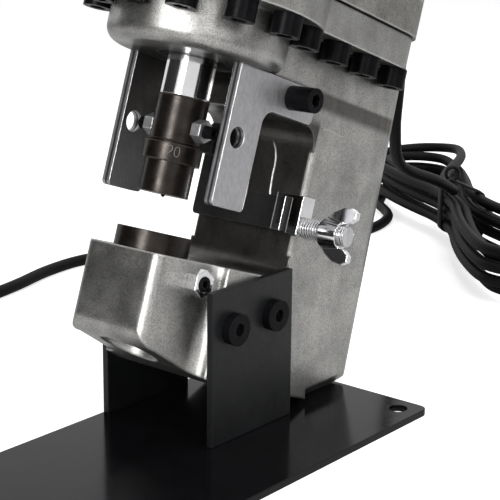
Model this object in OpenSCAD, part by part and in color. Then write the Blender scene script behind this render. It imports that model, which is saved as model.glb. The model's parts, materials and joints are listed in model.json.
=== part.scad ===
// Portable electric hydraulic hole punch, leaning back on its bench stand.
// Origin: middle of the base plate's underside. +Z up, the throat faces -Y.
// The machine above the stand is drawn upright about the ram axis, with z = 0 on
// the lower jaw, and then leaned back as one by lean().

/* [Stand] */
// Width of the base plate, across the machine
base_w = 102; // [100:1:140]
// Length of the base plate, front to back
base_l = 196; // [190:1:260]
// Thickness of the base plate
base_t = 3; // [2:0.5:6]
// Corner radius of the base plate
base_corner_r = 4; // [1:0.5:9]
// Diameter of the base plate's bolt holes
base_hole_d = 8; // [5:0.5:9]
// Distance of each bolt hole from the plate's edges
base_hole_inset = 9.5; // [8:0.5:12]
// Thickness of the two uprights
upright_t = 3; // [2:0.5:5]
// Length of the uprights, front to back
upright_l = 50.5; // [46:0.5:56]
// Height of the uprights above the base plate
upright_h = 64; // [58:1:70]
// Front edge of the uprights, from the middle of the base
upright_front = 2.5; // [0:0.5:6]
// Angle that the machine leans back
lean_angle = 19; // [15:0.5:22]

/* [C-frame] */
// Thickness of the frame, across the machine
frame_w = 55; // [52:0.5:60]
// How much narrower than the frame the lower jaw's nose is, on each side
nose_step = 7.25; // [5:0.25:8]
// How far the nose reaches in front of the ram axis
nose_reach = 16.5; // [15.5:0.5:22]
// Height of the nose
nose_h = 37; // [34:1:39]
// Radius of the nose's lower front edge
nose_r = 8; // [4:0.5:10]
// Radius of the nose's upright front corners
nose_corner_r = 5; // [3:0.5:6]
// Distance from the ram axis back to where the nose widens
nose_back = 17; // [16:0.5:19]
// Depth of the throat behind the ram axis
throat_depth = 55; // [53:0.5:60]
// Height of the throat's roof above the lower jaw
neck_z = 64; // [62:0.5:66]
// Height of the head's underside above the lower jaw
head_z = 78; // [77:0.5:80]
// Height of the flange's underside above the lower jaw
flange_z = 99; // [98:0.5:102]
// Thickness of the flange
flange_t = 13.6; // [12:0.2:15]
// Radius of the round head
head_r = 36; // [35:0.5:37]
// Radius of the head's lower edge
head_edge_r = 6; // [3:0.5:8]
// Slope of the column's back, leaning forward toward the top
back_slope = 2.7; // [1:0.1:4]
// Depth of the column at the heel
heel_depth = 68; // [64:1:72]
// Radius of the heel that rests on the base plate
heel_r = 16; // [12:1:18]
// Length of the flat pad on which the heel stands
heel_pad = 20; // [10:1:22]
// Height of the heel's centre under the lower jaw's top
heel_drop = 27.2; // [25:0.2:30]
// Radius of the column's rear corners
column_corner_r = 14; // [6:1:16]

/* [Ram and tooling] */
// Diameter of the ram's rod
rod_d = 20.6; // [19:0.2:22]
// Diameter of the cylinder bore
bore_d = 52; // [48:1:54]
// Diameter of the punch's cutting tip
punch_d = 20; // [12:0.5:20]
// Length of the punch's cutting tip
punch_tip_l = 13; // [10:0.5:14]
// Height of the punch's collar
punch_collar_h = 7; // [5:0.5:8]
// Diameter of the punch's collar
punch_collar_d = 23.6; // [21:0.2:24]
// Length of the coupling nut
nut_l = 19; // [18:0.5:20]
// Diameter of the coupling nut
nut_d = 20.6; // [20:0.2:23]
// Outside diameter of the die
die_d = 30; // [29:0.5:32]
// Height of the die above the lower jaw
die_proud = 8; // [5:0.5:10]
// Depth of the die's seat
die_seat = 12; // [11:0.5:14]
// Gap all round between punch and die
die_clearance = 0.4; // [0.2:0.1:0.8]

/* [Stripper and stop] */
// Thickness of a stripper plate
stripper_t = 4; // [3:0.5:5]
// Distance between the stripper plates' inner faces
stripper_gap = 51; // [49:0.5:51.5]
// Width of a stripper plate's leg
stripper_leg = 19.5; // [16:0.5:22]
// Front edge of the legs, in front of the ram axis
stripper_front = 5; // [3:0.5:8]
// Length of a stripper plate's arm
stripper_arm = 51; // [48:0.5:54]
// Gap under the legs, above the lower jaw
stripper_low = 22.5; // [20:0.5:24]
// Diameter of the access hole in each leg
access_d = 8.6; // [6:0.2:10]
// Head diameter of the stripper screws
stripper_head_d = 10; // [8:0.5:12]
// Head length of the stripper screws
stripper_head_l = 12; // [6:0.5:14]
// Height of the work stop
stop_h = 14; // [8:1:16]
// Depth of the work stop, front to back
stop_d = 7; // [5:0.5:9]
// Height of the guide leg at the work stop's left end
stop_leg_h = 40; // [24:1:42]
// Underside of the work stop above the lower jaw
stop_z = 19.5; // [18:0.5:24]

/* [Pump and motor] */
// Radius of the flange round the head
flange_r = 48.5; // [48:0.5:50]
// How far the flange's straight sides stand out from the frame
flange_side = 12.5; // [12.5:0.5:16]
// Back edge of the flange, behind the ram axis
flange_back = 104; // [102:1:112]
// Head diameter of the flange screws
flange_head_d = 12; // [10:0.5:12]
// Head height of the flange screws
flange_head_h = 8.5; // [6:0.5:9]
// Shank diameter of the flange screws
flange_shank_d = 6.4; // [5:0.2:7]
// Height of the lower pump casting
pump_base_h = 16; // [15:0.2:18]
// How far the pump castings stand proud of the flange
pump_lip = 1.5; // [0.5:0.5:2.5]
// Height of the pump body
pump_body_h = 20.6; // [20:0.2:26]
// Height of the gear case
gear_case_h = 32; // [31:0.5:36]
// Distance of the motor axis behind the ram axis
motor_y = 30; // [28:0.5:32]
// Module of the gear teeth
gear_module = 1.13; // [1:0.01:1.2]
// Teeth on the motor pinion
pinion_teeth = 10; // [9:1:12]
// Teeth on the drive gear
gear_teeth = 36; // [32:1:36]
// Outside diameter of the motor
motor_d = 68; // [66:1:72]
// Wall of the motor housing
motor_wall = 3; // [2:0.5:4]
// Length of the motor housing
motor_l = 94; // [94:1:110]
// Height of the motor's end cap
cap_h = 16; // [16:0.5:22]
// Length of the handle
handle_l = 114; // [108:1:126]
// Height of the handle
handle_h = 60; // [58:1:70]
// Width of the handle
handle_w = 28; // [26:1:34]
// Thickness of the grip
grip_t = 20; // [20:0.5:24]

/* [Cord] */
// Diameter of the cord
cord_d = 6.5; // [5:0.1:6.6]

/* [Hidden] */
$fn = 64;
// Running clearance of a shaft or piston, per side
run_gap = 0.05;
// Gap between parts that move past each other
move_gap = 0.3;
// Bores and recesses run this far past the face they start from
over = 1;

frame_half = frame_w / 2;
nose_w = frame_w - 2 * nose_step;
flange_half = frame_half + flange_side;
heel_y = throat_depth + heel_depth - heel_r;
// Back of the column at a height z, on the line that is tangent to the heel
function column_back(z) = heel_y + (heel_r - (z + heel_drop) * sin(back_slope)) / cos(back_slope);
jaw_mid = 25;
jaw_step = 9.8;
jaw_low = nose_h + jaw_step;
// The machine's mid-plane sits so that the left upright is flush with the base plate's edge
mach_x = upright_t + frame_half - base_w / 2 + 0.5;
// The heel touches the base plate
mach_z = base_t + heel_y * sin(lean_angle) + heel_drop * cos(lean_angle) + heel_r;
deck_z = flange_z + flange_t;
gasket_t = 0.8;
pump_z = deck_z + gasket_t;
seam_z = pump_z + pump_base_h;
case_z = seam_z + pump_body_h;
motor_z = case_z + gear_case_h;
cap_z = motor_z + motor_l;
handle_z = cap_z + cap_h;
corner_r = 20;

// Ram, from the punch upward
die_bore = punch_d / 2 + die_clearance;
punch_lift = 15;
punch_z = die_proud + punch_lift;
collar_z = punch_z + punch_tip_l;
nut_z = collar_z + punch_collar_h;
rod_z = nut_z + nut_l;
piston_h = 12;
piston_z = case_z - 8 - piston_h;
bore_floor = head_z + 8;
bore_top = case_z - 4;
spigot_r = 7;
set_screw_z = nut_z + 7;
gland_r = 15;
wiper_r = 14;
wiper_h = 2;
seal_depth = 2.5;
seal_h = 4;

// Stripper
stripper_in = stripper_gap / 2;
stripper_out = stripper_in + stripper_t;
stripper_screw_y = 30;
stripper_screw_z = head_z - 6;
m6_r = 3;
set_screw_r = 2.5;
access_y = 1.5;

// Work stop
stop_back = throat_depth - move_gap;
stop_left = 3.5 - frame_half;
stop_right = frame_half + 1;
stud_y = stop_back - stop_d / 2;
stud_z = stop_z + 3;
stud_r = 4;
clamp_t = 5.5;
clamp_skin = 1.5;
stud_free = 11;
wing_x = stop_right + clamp_t + stud_free;
wing_l = 8;
stud_end = 3;

// Gears
gear_y = motor_y + gear_module * (pinion_teeth + gear_teeth) / 2;
gear_low = case_z + 10;
gear_h = 10;
ecc_r = 10;
ecc_throw = 3;
ecc_z = case_z - 15;
ecc_h = 10;
chamber_r = 15;
barrel_z = ecc_z + ecc_h / 2;
plunger_r = 5;
plunger_y = gear_y + ecc_r + ecc_throw + 0.4;
plunger_l = 23;
bearing_h = 6;
gear_bearing_r = 11;
gear_shaft_r = 6;
motor_bearing_r = 13;
shaft_r = 5;
motor_r = motor_d / 2;
case_wall = 1;
stack_z = motor_z + 23;
stack_h = 45;
fan_z = motor_z + 8;
fan_hub_r = 8;
fan_hub_h = 12;
fan_r = motor_r - motor_wall - 4;
fan_disc_t = 2;
blade_t = 1.5;
blade_h = 9;
rotor_r = 20;
comm_z = stack_z + stack_h + 6;
comm_h = 12;
comm_r = 12;
brush_z = comm_z + comm_h / 2;
brush_r = 5;
brush_cap_t = 3;

// Handle
handle_y = motor_y + 5 - handle_l / 2;
handle_back = handle_y + handle_l;
handle_r = 14;
handle_top = handle_z + handle_h;
grip_z = handle_top - grip_t;
handle_foot = 12;
handle_half = handle_w / 2;
trigger_l = 0.21 * handle_l;
trigger_y = handle_y + 0.404 * handle_l;
trigger_out = 6;
trigger_half = 6;
button_y = handle_y + 0.737 * handle_l;
button_r = 4;
relief_l = 30;

// Cord. The route's free points are chosen by hand, in millimetres from the origin.
cord_r = cord_d / 2;
hank_c = [-92, 362];
hank_yaw = -42;
hank_half = 115;
hank_in = 20.6;
hank_step = 8.2;
hank_draw = 16;
hank_waist = 58;
hank_turns = 5;
tie_t = 1.3;
tie_w = 8;
tie_room = 1.5;
hank_out = hank_in + hank_step;
// Height of a layer of the hank: four of loops, and a fifth for the stretch that lies on top
function layer(k) = tie_t + 0.3 + cord_r + hank_step * (k - 1);
hank_start_v = -11;
plug_y = 5;
plug_x = -216;
plug_z = 10.5;
plug_cone = 14;
plug_l = 26;
plug_half = 15;
pin_l = 18;
pin_r = 2.2;
pin_x = 6.5;

// Colours
c_cast = [0.62, 0.61, 0.58];
c_plate = [0.68, 0.68, 0.69];
c_oxide = [0.20, 0.16, 0.14];
c_screw = [0.10, 0.10, 0.11];
c_bright = [0.82, 0.83, 0.85];
c_paint = [0.07, 0.07, 0.08];
c_rubber = [0.06, 0.06, 0.06];
c_brass = [0.72, 0.58, 0.30];
c_shell = [0.13, 0.14, 0.15];

// Leans the machine back about the ram axis' foot and sets its heel on the base plate
module lean() {
    translate([mach_x, 0, mach_z]) rotate([-lean_angle, 0, 0]) children();
}
function leaned(p) = [
    mach_x + p[0],
    p[1] * cos(lean_angle) + p[2] * sin(lean_angle),
    mach_z - p[1] * sin(lean_angle) + p[2] * cos(lean_angle)];

// A side profile drawn in (y, z), extruded across the machine from x0 over width w
module across(x0, w) {
    translate([x0, 0, 0]) rotate([90, 0, 90]) linear_extrude(w) children();
}
// A cylinder along +X from x0, at y and z
module rod_x(x0, y, z, r, l) {
    translate([x0, y, z]) rotate([0, 90, 0]) cylinder(r = r, h = l);
}
// A cylinder along +Y from y0, at x and z
module rod_y(x, y0, z, r, l) {
    translate([x, y0, z]) rotate([-90, 0, 0]) cylinder(r = r, h = l);
}
// A ring about the local Z axis
module ring(r_out, r_in, h) {
    difference() {
        cylinder(r = r_out, h = h);
        translate([0, 0, -over]) cylinder(r = r_in, h = h + 2 * over);
    }
}
// The material between a square corner and its inscribed arc
module fillet(r) {
    difference() {
        square(r + over);
        translate([r, r]) circle(r);
        translate([r, -over]) square([r + over, r + 2 * over]);
        translate([-over, r]) square([r + 2 * over, r + over]);
    }
}
// A rectangle with round corners, made of exact pieces
module round_rect(w, l, r) {
    translate([0, r]) square([w, l - 2 * r]);
    translate([r, 0]) square([w - 2 * r, l]);
    for (x = [r, w - r], y = [r, l - r]) translate([x, y]) circle(r);
}
// A hexagon by its width across flats
module hex(af) {
    circle(d = af / cos(30), $fn = 6);
}

// Stand
module base_hole_places() {
    x = base_w / 2 - base_hole_inset;
    y = base_l / 2 - base_hole_inset;
    for (p = [[x, y], [x, -y], [-x, -y]]) translate(p) children();
}
module base_plate() {
    color(c_paint) linear_extrude(base_t) difference() {
        translate([-base_w / 2, -base_l / 2]) round_rect(base_w, base_l, base_corner_r);
        base_hole_places() circle(d = base_hole_d);
    }
}
upright_bolt_r = 4;
upright_bolt_y = [upright_front + 12, upright_front + 37];
upright_bolt_z = base_t + upright_h - 16.5;
upright_bolt_in = 10;
upright_head_r = 6.5;
upright_head_h = 4;
module upright(x0) {
    color(c_paint) difference() {
        translate([x0, upright_front, base_t]) cube([upright_t, upright_l, upright_h]);
        for (y = upright_bolt_y) rod_x(x0 - over, y, upright_bolt_z, upright_bolt_r, upright_t + 2 * over);
    }
}
module upright_left() {
    upright(mach_x - frame_half - upright_t);
}
module upright_right() {
    upright(mach_x + frame_half);
}
// Low round heads outside the uprights, threaded into the lower jaw
module upright_bolts() {
    color(c_screw) for (s = [-1, 1], y = upright_bolt_y)
        translate([mach_x, y, upright_bolt_z]) rotate([0, s * 90, 0]) {
            translate([0, 0, frame_half - upright_bolt_in])
                cylinder(r = upright_bolt_r, h = upright_bolt_in + upright_t);
            translate([0, 0, frame_half + upright_t]) difference() {
                cylinder(r = upright_head_r, h = upright_head_h);
                translate([0, 0, upright_head_h / 2]) linear_extrude(upright_head_h) hex(upright_bolt_r + 1);
            }
        }
}

// C-frame
// Points of an arc about c, from angle a0 to a1
function arc(c, r, a0, a1, n) = [for (i = [0:n]) let (a = a0 + (a1 - a0) * i / n) c + r * [cos(a), sin(a)]];
throat_low_r = 8;
throat_chamfer = 2.4;
heel_chamfer = 9;
throat_top_r = 10;
neck_front = 20;
module frame_profile() {
    top = flange_z + 1;
    polygon(concat(
        [[-nose_reach, 0]],
        arc([throat_depth - throat_low_r, throat_low_r], throat_low_r, -90, 0, 8),
        arc([throat_depth - throat_top_r, neck_z - throat_top_r], throat_top_r, 0, 90, 8),
        [[neck_front, neck_z], [neck_front, head_z], [0, head_z], [0, top], [column_back(top), top]],
        arc([heel_y, -heel_drop], heel_r, back_slope, lean_angle - 90, 10),
        [[heel_y, -heel_drop] + heel_r * [sin(lean_angle), -cos(lean_angle)]
            - heel_pad * [cos(lean_angle), sin(lean_angle)]],
        [[jaw_mid, -jaw_low]],
        arc([nose_r - nose_reach, nose_r - nose_h], nose_r, -90, -180, 8)));
}
module flange_outline(inset) {
    circle(flange_r - inset);
    translate([inset - flange_half, 0]) square([2 * (flange_half - inset), flange_back - corner_r]);
    translate([corner_r - flange_half, 0]) square([2 * (flange_half - corner_r), flange_back - inset]);
    for (s = [-1, 1])
        translate([s * (flange_half - corner_r), flange_back - corner_r]) circle(corner_r - inset);
}
// Screws follow the flange: an arc about the ram axis, then a straight row on each side
screw_arc_r = head_r + flange_head_d / 2 + 0.4;
screw_row_x = frame_half + flange_head_d / 2 + 0.4;
screw_row_y = 46;
screw_pitch = 22;
module flange_screw_places() {
    for (a = [-120:30:120]) rotate(a - 90) translate([screw_arc_r, 0, 0]) children();
    for (s = [-1, 1], k = [0:2]) translate([s * screw_row_x, screw_row_y + k * screw_pitch, 0]) children();
}
module nose_cut() {
    r = 6;
    far = frame_half + over;
    front = -nose_reach - over;
    side = nose_w / 2;
    for (m = [0, 1]) mirror([m, 0, 0]) translate([0, 0, -jaw_low - over]) linear_extrude(jaw_low + 2 * over)
        polygon(concat(
            [[far, front], [side, front]], arc([side + r, nose_back - r], r, 180, 90, 6), [[far, nose_back]]));
}
module nose_corner_cut() {
    r = nose_corner_r;
    side = nose_w / 2;
    front = -nose_reach;
    for (m = [0, 1]) mirror([m, 0, 0]) translate([0, 0, -jaw_low - over]) linear_extrude(jaw_low + 2 * over)
        polygon(concat(
            [[side + over, front - over], [side - r, front - over]],
            arc([side - r, front + r], r, -90, 0, 6), [[side + over, front + r]]));
}
// Chamfers of the throat's rear edges and of the heel's lower edges
module edge_cuts() {
    low = throat_low_r + 2;
    for (s = [-1, 1]) {
        translate([s * frame_half, throat_depth, low]) rotate(45)
            translate([-throat_chamfer / 2, -throat_chamfer / 2, 0])
                cube([throat_chamfer, throat_chamfer, neck_z - throat_top_r - low]);
        rotate([lean_angle, 0, 0]) translate([s * frame_half, heel_y, base_t - mach_z]) rotate([0, 45, 0])
            cube([heel_chamfer, 4 * heel_pad, heel_chamfer], center = true);
    }
}
module column_corner_cut() {
    r = column_corner_r;
    edge = frame_half;
    translate([0, column_back(0), 0]) rotate([back_slope, 0, 0]) translate([0, 0, -60])
        linear_extrude(64 + flange_z) for (m = [0, 1]) mirror([m, 0])
            polygon(concat(
                [[edge + over, over], [edge - r, over]], arc([edge - r, -r], r, 90, 0, 6), [[edge + over, -r]]));
}
// The round head about the ram axis, with a rounded lower edge
module head() {
    e = head_edge_r;
    rotate_extrude() polygon(concat(
        [[0, head_z]], arc([head_r - e, head_z + e], e, -90, 0, 6),
        [[head_r, flange_z + 1], [0, flange_z + 1]]));
}
module c_frame() {
    color(c_cast) lean() difference() {
        union() {
            difference() {
                across(-frame_half, frame_w) frame_profile();
                nose_cut();
                nose_corner_cut();
                column_corner_cut();
                edge_cuts();
                // Seats of the stripper plates beside the neck
                for (s = [0, 1]) mirror([s, 0, 0])
                    translate([stripper_in, 0, neck_z - over])
                        cube([frame_half, stripper_arm - stripper_front + 1, head_z - neck_z + over]);
            }
            head();
            translate([0, 0, flange_z]) linear_extrude(flange_t) flange_outline(0);
        }
        // Die seat and slug hole
        translate([0, 0, -die_seat]) cylinder(d = die_d + 2 * run_gap, h = die_seat + over);
        translate([0, 0, -nose_h - 30]) cylinder(r = die_bore + 1.5, h = nose_h + 30);
        rod_x(die_flat - over, die_screw_y, die_screw_z, m6_r + run_gap, frame_half);
        // Cylinder, gland and wiper
        translate([0, 0, bore_floor]) cylinder(d = bore_d, h = deck_z);
        translate([0, 0, head_z + wiper_h]) cylinder(r = gland_r, h = bore_floor);
        translate([0, 0, head_z - over]) cylinder(r = wiper_r, h = wiper_h + 2 * over);
        flange_screw_places() translate([0, 0, flange_z - over])
            cylinder(d = flange_shank_d + 0.4, h = flange_t + 2 * over);
        for (s = [0, 1]) mirror([s, 0, 0])
            rod_x(stripper_in - 10, stripper_screw_y, stripper_screw_z, m6_r + run_gap, 12);
        // Threads of the upright bolts, which run level with the base
        for (s = [-1, 1], y = upright_bolt_y)
            rotate([lean_angle, 0, 0]) translate([0, y, upright_bolt_z - mach_z]) rotate([0, s * 90, 0])
                translate([0, 0, frame_half - upright_bolt_in])
                    cylinder(r = upright_bolt_r + run_gap, h = upright_bolt_in + over);
    }
}

// Die and its lock
die_screw_z = -8;
die_screw_y = 6;
die_flat = die_d / 2 - 1.6;
die_nut_x = nose_w / 2;
module die() {
    color(c_oxide) lean() difference() {
        translate([0, 0, -die_seat]) cylinder(d = die_d, h = die_seat + die_proud);
        translate([0, 0, -die_seat - over]) cylinder(r = die_bore, h = die_seat + die_proud + 2 * over);
        // Flat for the set screw
        translate([die_flat, die_screw_y - 4, die_screw_z - 4]) cube([5, 8, 8]);
    }
}
module die_set_screw() {
    color(c_screw) lean() difference() {
        rod_x(die_flat, die_screw_y, die_screw_z, m6_r, die_nut_x - die_flat + 6);
        translate([die_nut_x + 3, die_screw_y, die_screw_z]) rotate([0, 90, 0]) linear_extrude(9) hex(3);
    }
}
module die_lock_nut() {
    color(c_bright) lean() translate([die_nut_x, die_screw_y, die_screw_z]) rotate([0, 90, 0]) difference() {
        linear_extrude(5.5) hex(10);
        translate([0, 0, -over]) cylinder(r = m6_r + run_gap, h = 9);
    }
}

// Ram
module ram() {
    color(c_bright) lean() difference() {
        union() {
            translate([0, 0, rod_z]) cylinder(d = rod_d, h = piston_z - rod_z);
            translate([0, 0, piston_z]) cylinder(r = bore_d / 2 - run_gap, h = piston_h);
            translate([0, 0, nut_z + nut_l / 2]) cylinder(r = spigot_r, h = nut_l);
        }
        translate([0, 0, piston_z + (piston_h - seal_h) / 2])
            ring(bore_d / 2 + over, bore_d / 2 - seal_depth - run_gap, seal_h);
    }
}
module piston_seal() {
    color(c_rubber) lean() translate([0, 0, piston_z + (piston_h - seal_h) / 2])
        ring(bore_d / 2 - run_gap, bore_d / 2 - seal_depth, seal_h);
}
module gland_bush() {
    color(c_brass) lean() translate([0, 0, head_z + wiper_h])
        ring(gland_r - run_gap, rod_d / 2 + run_gap, bore_floor - head_z - wiper_h);
}
module rod_wiper() {
    color(c_rubber) lean() translate([0, 0, head_z])
        ring(wiper_r - run_gap, rod_d / 2 + run_gap, wiper_h);
}
spring_wire = 4;
spring_turns = 5;
spring_r = (bore_d / 2 + rod_d / 2) / 2;
module return_spring() {
    low = bore_floor + spring_wire / 2 + move_gap;
    high = piston_z - spring_wire / 2 - move_gap;
    steps = spring_turns * 12;
    path = [for (i = [0:steps]) [
        spring_r * cos(i * 30), spring_r * sin(i * 30), low + (high - low) * i / steps]];
    color(c_bright) lean() tube(path, spring_wire / 2, 6, [0, 0, 1]);
}
module coupling_nut() {
    color(c_oxide) lean() difference() {
        translate([0, 0, nut_z]) cylinder(d = nut_d, h = nut_l);
        translate([0, 0, nut_z - over]) cylinder(r = spigot_r + run_gap, h = nut_l + 2 * over);
        rod_x(-nut_d, 0, set_screw_z, set_screw_r + run_gap, 2 * nut_d);
    }
}
module punch() {
    color(c_oxide) lean() {
        translate([0, 0, punch_z]) cylinder(d = punch_d, h = punch_tip_l);
        translate([0, 0, collar_z]) cylinder(d = punch_collar_d, h = punch_collar_h);
        translate([0, 0, nut_z]) cylinder(r = spigot_r, h = nut_l / 2 - 0.3);
        // Centring point
        translate([0, 0, punch_z - 1]) cylinder(r1 = 0.4, r2 = 1.4, h = 1.5);
    }
}
module punch_set_screws() {
    color(c_screw) lean() for (s = [0, 1]) mirror([s, 0, 0]) difference() {
        rod_x(spigot_r + 0.2, 0, set_screw_z, set_screw_r, 12);
        translate([spigot_r + 9.2, 0, set_screw_z]) rotate([0, 90, 0]) linear_extrude(4) hex(2.5);
    }
}
lock_nut_h = 4.6;
module punch_lock_nuts() {
    color(c_bright) lean() for (s = [0, 1]) mirror([s, 0, 0])
        translate([nut_d / 2, 0, set_screw_z]) rotate([0, 90, 0]) difference() {
            linear_extrude(lock_nut_h) hex(8);
            translate([0, 0, -over]) cylinder(r = set_screw_r + run_gap, h = lock_nut_h + 2 * over);
        }
}

// Stripper
module stripper_profile() {
    r = 2;
    difference() {
        union() {
            translate([-stripper_front, stripper_low]) round_rect(stripper_leg, head_z - stripper_low, r);
            translate([-stripper_front, neck_z]) round_rect(stripper_arm, head_z - neck_z, r);
            translate([-stripper_front, head_z - 10]) square([stripper_leg, 10]);
            translate([stripper_leg - stripper_front, neck_z]) mirror([0, 1]) fillet(6);
            translate([stripper_leg - stripper_front - r, neck_z]) square([2 * r, 4]);
        }
        translate([access_y, set_screw_z]) circle(d = access_d);
        translate([stripper_screw_y, stripper_screw_z]) circle(m6_r + 0.2);
    }
}
module stripper_left() {
    color(c_plate) lean() across(-stripper_out, stripper_t) stripper_profile();
}
module stripper_right() {
    color(c_plate) lean() across(stripper_in, stripper_t) stripper_profile();
}
module stripper_screws() {
    color(c_screw) lean() for (s = [0, 1]) mirror([s, 0, 0]) difference() {
        union() {
            rod_x(stripper_in - 9, stripper_screw_y, stripper_screw_z, m6_r, 9 + stripper_t);
            rod_x(stripper_out, stripper_screw_y, stripper_screw_z, stripper_head_d / 2, stripper_head_l);
        }
        translate([stripper_out + stripper_head_l - 4, stripper_screw_y, stripper_screw_z])
            rotate([0, 90, 0]) linear_extrude(5) hex(5);
    }
}

// Work stop
stop_leg_w = 8;
stop_leg_d = stop_d - 2.5;
stop_leg_top = min(stop_z + stop_leg_h, neck_z - 2);
stop_lug = 6;
stop_lug_h = 14;
module stop_bar() {
    color(c_oxide) lean() difference() {
        union() {
            translate([stop_left + 2, stop_back - stop_d, stop_z])
                cube([stop_right - stop_left - 2, stop_d, stop_h]);
            // Guide leg and the lug at its upper end
            translate([stop_left, stop_back - stop_d + stop_leg_d, stop_z]) rotate([90, 0, 0])
                linear_extrude(stop_leg_d) round_rect(stop_leg_w, stop_leg_top - stop_z, 2);
            translate([stop_left, stop_back - stop_d - stop_lug, stop_leg_top - stop_lug_h])
                cube([stop_leg_w, stop_lug + stop_leg_d / 2, stop_lug_h - 2]);
        }
        rod_x(stop_right - 10, stud_y, stud_z, stud_r * 0.7 + run_gap, 10 + over);
    }
}
// Bright clip over the bar's end: a block outside, a skin on top and a strip in front
module stop_clamp() {
    front = stop_back - stop_d - clamp_skin;
    color(c_bright) lean() difference() {
        union() {
            translate([stop_right, front, stop_z - 0.5]) cube([clamp_t, stop_d + clamp_skin, stop_h + 0.5]);
            translate([stop_right - 8, front, stop_z + stop_h])
                cube([clamp_t + 8, stop_d + clamp_skin, clamp_skin]);
            translate([stop_right - 8, front, stop_z]) cube([4.5, clamp_skin, stop_h + clamp_skin]);
        }
        rod_x(stop_right - over, stud_y, stud_z, stud_r + run_gap, clamp_t + 2 * over);
    }
}
module stop_stud() {
    color(c_bright) lean() {
        rod_x(stop_right, stud_y, stud_z, stud_r, clamp_t + stud_free + wing_l + stud_end);
        rod_x(stop_right - 9, stud_y, stud_z, stud_r * 0.7, 10);
    }
}
module wing_nut() {
    wing_t = 3;
    ear = [
        [3, 1], [6, 0], [8.5, 2.5], [11, 7], [11.5, 11], [10, 13.5], [7.5, 13.5], [5.5, 11], [4.5, 8], [3, 7.5]];
    color(c_bright) lean() translate([wing_x, stud_y, stud_z]) rotate([0, 90, 0]) difference() {
        union() {
            cylinder(r1 = 6.5, r2 = 5.5, h = wing_l);
            for (m = [0, 1]) mirror([m, 0, 0]) translate([0, wing_t / 2, 0]) rotate([90, 0, 0])
                linear_extrude(wing_t) polygon(ear);
        }
        translate([0, 0, -over]) cylinder(r = stud_r + run_gap, h = 3 * wing_l);
    }
}

// Pump
module flange_gasket() {
    color(c_rubber) lean() translate([0, 0, deck_z]) linear_extrude(gasket_t) difference() {
        flange_outline(1);
        circle(d = bore_d);
        flange_screw_places() circle(d = flange_shank_d + 0.4);
    }
}
screw_bite = 8;
screw_up = flange_t + gasket_t + pump_base_h + screw_bite;
module flange_screws() {
    color(c_screw) lean() flange_screw_places() translate([0, 0, flange_z]) {
        cylinder(d = flange_shank_d, h = screw_up);
        translate([0, 0, -flange_head_h]) difference() {
            cylinder(d = flange_head_d, h = flange_head_h);
            translate([0, 0, -over]) linear_extrude(4) hex(6);
        }
    }
}
module pump_base() {
    color(c_cast) lean() translate([0, 0, pump_z]) linear_extrude(pump_base_h) difference() {
        flange_outline(-pump_lip);
        circle(d = bore_d);
        flange_screw_places() circle(d = flange_shank_d + 0.4);
    }
}
knob_y = 60;
knob_z = seam_z + 8;
pump_half = flange_half + pump_lip;
pump_back = flange_back + pump_lip;
spanner_r = 8;
oil_x = -18;
oil_y = flange_back - 16;
case_flange_t = 6;
case_screw_r = 2.5;
case_screw_in = 9;
case_head_r = 4.3;
case_head_h = 5;
case_screw_x = flange_half - 6;
case_screw_y = [5, flange_back - 18];
module case_screw_places() {
    for (x = [-case_screw_x, case_screw_x], y = case_screw_y) translate([x, y, 0]) children();
}
module pump_body() {
    color(c_cast) lean() difference() {
        translate([0, 0, seam_z]) linear_extrude(pump_body_h) flange_outline(-pump_lip);
        translate([0, 0, seam_z - over]) cylinder(d = bore_d, h = bore_top - seam_z + over);
        flange_screw_places() translate([0, 0, seam_z - over])
            cylinder(d = flange_shank_d + 2 * run_gap, h = screw_bite + 2 * over);
        // Eccentric chamber, plunger barrel and its plug
        translate([0, gear_y, ecc_z - 3]) cylinder(r = chamber_r, h = case_z);
        rod_y(0, gear_y, barrel_z, plunger_r + run_gap, pump_back - gear_y + over);
        // Oil port, release valve and relief valve
        translate([oil_x, oil_y, case_z - 9]) cylinder(r = 5 + run_gap, h = 9 + over);
        rod_x(pump_half - 12, knob_y, knob_z, 4 + run_gap, 12 + over);
        rod_x(-pump_half - over, knob_y, knob_z, 4 + run_gap, 12 + over);
        case_screw_places() translate([0, 0, case_z - case_screw_in - over])
            cylinder(r = case_screw_r + run_gap, h = case_screw_in + 2 * over);
    }
}
module oil_plug() {
    color(c_brass) lean() translate([oil_x, oil_y, case_z]) {
        translate([0, 0, -8]) cylinder(r = 5, h = 8);
        linear_extrude(9) hex(12);
    }
}
module relief_valve_cap() {
    color(c_screw) lean() translate([-pump_half, knob_y, knob_z]) rotate([0, -90, 0]) {
        translate([0, 0, -10]) cylinder(r = 4, h = 10);
        linear_extrude(7) hex(13);
    }
}
// Fluted knob that opens the oil's way back
module release_knob() {
    color(c_screw) lean() translate([pump_half + move_gap, knob_y, knob_z]) rotate([0, 90, 0]) {
        translate([0, 0, -10]) cylinder(r = 4, h = 11);
        linear_extrude(13) difference() {
            circle(10);
            for (a = [0:45:315]) rotate(a) translate([11, 0]) circle(2.5);
        }
    }
}
module barrel_plug() {
    color(c_screw) lean() translate([0, pump_back, barrel_z]) rotate([-90, 0, 0]) {
        translate([0, 0, -4]) cylinder(r = plunger_r, h = 4);
        linear_extrude(6) hex(14);
    }
}
module pump_plunger() {
    color(c_bright) lean() rod_y(0, plunger_y, barrel_z, plunger_r, plunger_l);
}

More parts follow.
